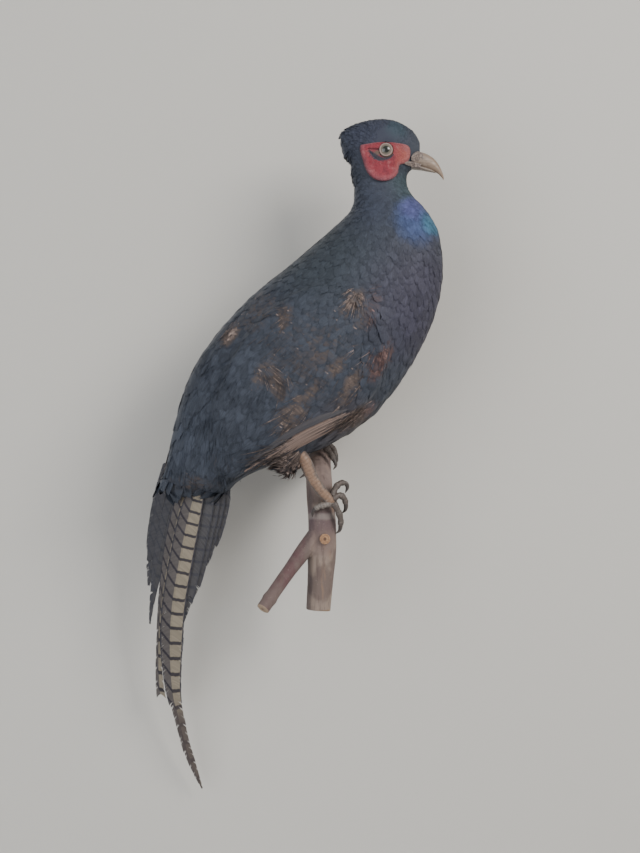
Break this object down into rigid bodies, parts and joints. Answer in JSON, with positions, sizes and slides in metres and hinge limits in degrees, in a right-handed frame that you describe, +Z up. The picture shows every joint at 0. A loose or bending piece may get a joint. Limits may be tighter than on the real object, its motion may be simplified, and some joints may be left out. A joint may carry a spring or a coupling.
{
  "type": "taxidermy pheasant on a wall branch",
  "caption": "Mounted dark cock pheasant with bare red face and long barred tail, gripping a forked branch that is fixed to a wall by its bent upper end.",
  "frame": {"origin": "centre of the branch's sawn upper face, which lies flat on the wall", "axes": "+Y into the wall, +Z up, +X the way the bird looks"},
  "size_m": [0.2819, 0.1651, 0.6384],
  "materials": {
    "plumage": "satin",
    "wing": "satin",
    "tail": "satin",
    "wattle": "matte",
    "eye": "polished",
    "bill": "satin",
    "leg": "satin",
    "claw": "satin",
    "bark": "rough"
  },
  "bodies": {
    "root": {"head": "plumage", "neck": "plumage", "trunk": "plumage", "rump": "plumage", "bill_upper": "bill", "bill_lower": "bill", "branch_stem": "bark", "branch_shoot": "bark", "branch_knot": "bark", "eye_right": "eye", "wattle_right": "wattle", "wing_right": "wing", "wing_right_primaries": "wing", "thigh_right": "plumage", "foot_right": "leg", "claw_right_inner": "claw", "claw_right_middle": "claw", "claw_right_outer": "claw", "claw_right_hind": "claw", "spur_right": "claw", "eye_left": "eye", "wattle_left": "wattle", "wing_left": "wing", "wing_left_primaries": "wing", "thigh_left": "plumage", "foot_left": "leg", "claw_left_inner": "claw", "claw_left_middle": "claw", "claw_left_outer": "claw", "claw_left_hind": "claw", "spur_left": "claw", "tail_middle_a": "tail", "tail_middle_b": "tail", "tail_right_1": "tail", "tail_left_1": "tail", "tail_right_2": "tail", "tail_left_2": "tail", "tail_right_3": "tail", "tail_left_3": "tail", "tail_right_4": "tail"}
  },
  "joints": []
}
